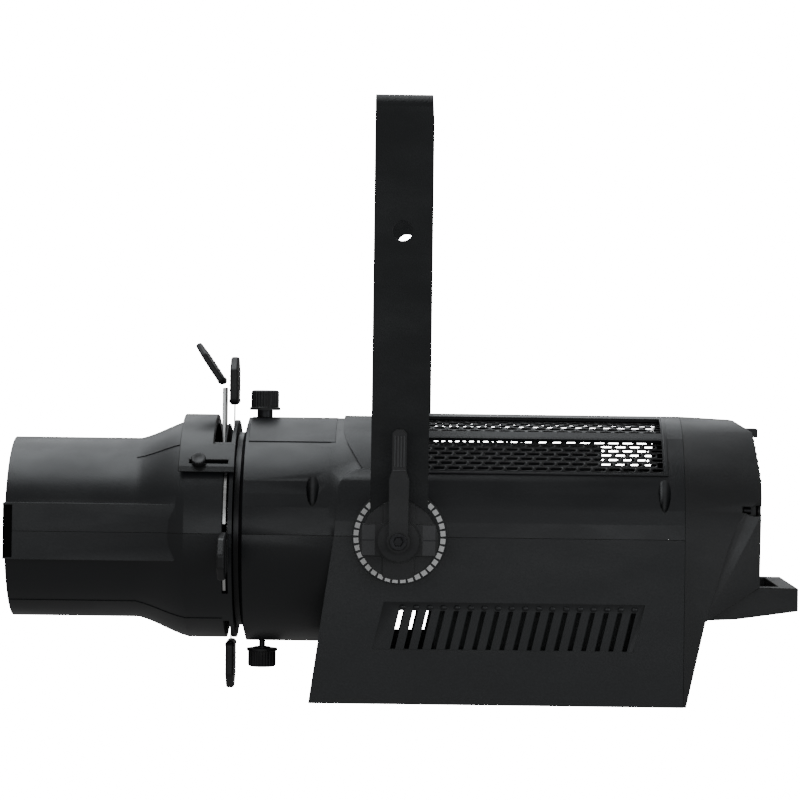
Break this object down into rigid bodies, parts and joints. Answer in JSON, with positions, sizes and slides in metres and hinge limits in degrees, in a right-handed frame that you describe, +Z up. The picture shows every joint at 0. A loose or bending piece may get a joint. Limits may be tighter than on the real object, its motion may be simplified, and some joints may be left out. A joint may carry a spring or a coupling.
{
  "type": "ellipsoidal spotlight",
  "caption": "Ellipsoidal profile spotlight with tilting yoke, rotating shutter barrel, sliding lens tube, framing shutters and louvred lamp housing.",
  "frame": {"origin": "underside of the base, on the middle plane and directly below the yoke's tilt axis", "axes": "+Z up, the beam points along -X, the tilt axis lies along Y"},
  "size_m": [0.7081, 0.3826, 0.535],
  "materials": {
    "black_casting": "satin black powder coat",
    "black_moulding": "matte",
    "black_steel": "fine textured satin",
    "black_plastic": "satin",
    "bright_steel": "brushed",
    "alloy": "satin",
    "clear_glass": "polished"
  },
  "bodies": {
    "housing": {"upper_housing": "black_casting", "lower_housing": "black_casting", "base_plate": "black_steel", "rear_cover": "black_moulding", "carry_handle": "black_plastic", "vent_mesh": "black_steel", "heat_sink": "alloy", "led_board": "bright_steel", "collimator": "alloy", "condenser_lens": "clear_glass", "driver_box": "black_plastic", "lamp_bracket": "black_steel", "fan_frame": "black_plastic", "power_inlet": "black_plastic", "data_inlet": "bright_steel", "data_outlet": "bright_steel", "housing_screw_front_left": "bright_steel", "housing_screw_front_right": "bright_steel", "housing_screw_rear_left": "bright_steel", "housing_screw_rear_right": "bright_steel", "pivot_boss_left": "black_casting", "pivot_boss_right": "black_casting", "tilt_spacer_left": "alloy", "tilt_spacer_right": "alloy", "pivot_bolt_left": "bright_steel", "pivot_bolt_right": "bright_steel"},
    "fan": {"fan_rotor": "black_plastic"},
    "barrel": {"barrel_upper_half": "black_casting", "barrel_lower_half": "black_casting", "gate_front_plate": "black_steel", "gate_rear_plate": "black_steel", "rotation_ring": "black_steel", "field_lens_holder": "black_steel", "field_lens": "clear_glass"},
    "lens_tube": {"lens_tube": "black_steel", "front_lens": "clear_glass", "lens_retainer": "black_steel"},
    "focus_knob": {"focus_knob": "black_plastic"},
    "pattern_holder": {"pattern_holder": "bright_steel", "pattern_handle": "black_plastic"},
    "slot_cover": {"slot_cover": "black_steel"},
    "thumbscrew_left": {"thumbscrew_left": "black_plastic"},
    "thumbscrew_right": {"thumbscrew_right": "black_plastic"},
    "rotation_knob_top": {"rotation_knob_top": "black_plastic"},
    "rotation_knob_bottom": {"rotation_knob_bottom": "black_plastic"},
    "yoke": {"yoke": "black_steel", "pressure_disc_left": "black_plastic", "pressure_disc_right": "black_plastic"},
    "clamp_lever_left": {"clamp_lever_left": "black_plastic"},
    "clamp_lever_right": {"clamp_lever_right": "black_plastic"},
    "shutter_top": {"shutter_blade_top": "bright_steel", "shutter_handle_top": "black_plastic"},
    "shutter_bottom": {"shutter_blade_bottom": "bright_steel", "shutter_handle_bottom": "black_plastic"},
    "shutter_left": {"shutter_blade_left": "bright_steel", "shutter_handle_left": "black_plastic"},
    "shutter_right": {"shutter_blade_right": "bright_steel", "shutter_handle_right": "black_plastic"}
  },
  "joints": [
    {"name": "yoke_tilt", "type": "hinge", "parent": "housing", "child": "yoke", "pos_m": [0, 0, 0.148], "axis": [0, 1, 0], "range_deg": [-100, 100]},
    {"name": "clamp_lever_left_turn", "type": "hinge", "parent": "yoke", "child": "clamp_lever_left", "pos_m": [0, -0.175, 0.148], "axis": [0, 1, 0], "range_deg": [-60, 60]},
    {"name": "clamp_lever_right_turn", "type": "hinge", "parent": "yoke", "child": "clamp_lever_right", "pos_m": [0, 0.175, 0.148], "axis": [0, 1, 0], "range_deg": [-60, 60]},
    {"name": "barrel_rotate", "type": "hinge", "parent": "housing", "child": "barrel", "pos_m": [-0.146, 0, 0.148], "axis": [1, 0, 0], "range_deg": [-25, 25]},
    {"name": "focus_slide", "type": "slide", "parent": "barrel", "child": "lens_tube", "axis": [-1, 0, 0], "range_m": [-0.015, 0.01]},
    {"name": "focus_knob_turn", "type": "hinge", "parent": "lens_tube", "child": "focus_knob", "pos_m": [-0.29, 0.1, 0.148], "axis": [0, 1, 0], "range_deg": [-180, 180]},
    {"name": "slot_cover_slide", "type": "slide", "parent": "barrel", "child": "slot_cover", "axis": [-1, 0, 0], "range_m": [0, 0.022]},
    {"name": "thumbscrew_left_turn", "type": "hinge", "parent": "barrel", "child": "thumbscrew_left", "pos_m": [-0.18, -0.07934, 0.20888], "axis": [0, -0.7934, 0.6088], "range_deg": [-180, 180]},
    {"name": "thumbscrew_right_turn", "type": "hinge", "parent": "barrel", "child": "thumbscrew_right", "pos_m": [-0.18, 0.07934, 0.20888], "axis": [0, 0.7934, 0.6088], "range_deg": [-180, 180]},
    {"name": "rotation_knob_top_turn", "type": "hinge", "parent": "housing", "child": "rotation_knob_top", "pos_m": [-0.126, 0, 0.258], "axis": [0, 0, 1], "range_deg": [-180, 180]},
    {"name": "rotation_knob_bottom_turn", "type": "hinge", "parent": "housing", "child": "rotation_knob_bottom", "pos_m": [-0.126, 0, 0.038], "axis": [0, 0, 1], "range_deg": [-180, 180]},
    {"name": "pattern_holder_slide", "type": "slide", "parent": "barrel", "child": "pattern_holder", "axis": [0, 0, 1], "range_m": [0, 0.11]},
    {"name": "fan_spin", "type": "hinge", "parent": "housing", "child": "fan", "pos_m": [0.16, 0, 0.148], "axis": [1, 0, 0], "continuous": true},
    {"name": "shutter_top_slide", "type": "slide", "parent": "barrel", "child": "shutter_top", "axis": [0, 0, 1], "range_m": [-0.008, 0.036]},
    {"name": "shutter_bottom_slide", "type": "slide", "parent": "barrel", "child": "shutter_bottom", "axis": [0, 0, -1], "range_m": [0, 0.036]},
    {"name": "shutter_left_slide", "type": "slide", "parent": "barrel", "child": "shutter_left", "axis": [0, -0.9885, -0.1513], "range_m": [0, 0.036]},
    {"name": "shutter_right_slide", "type": "slide", "parent": "barrel", "child": "shutter_right", "axis": [0, 1, 0], "range_m": [0, 0.036]}
  ]
}
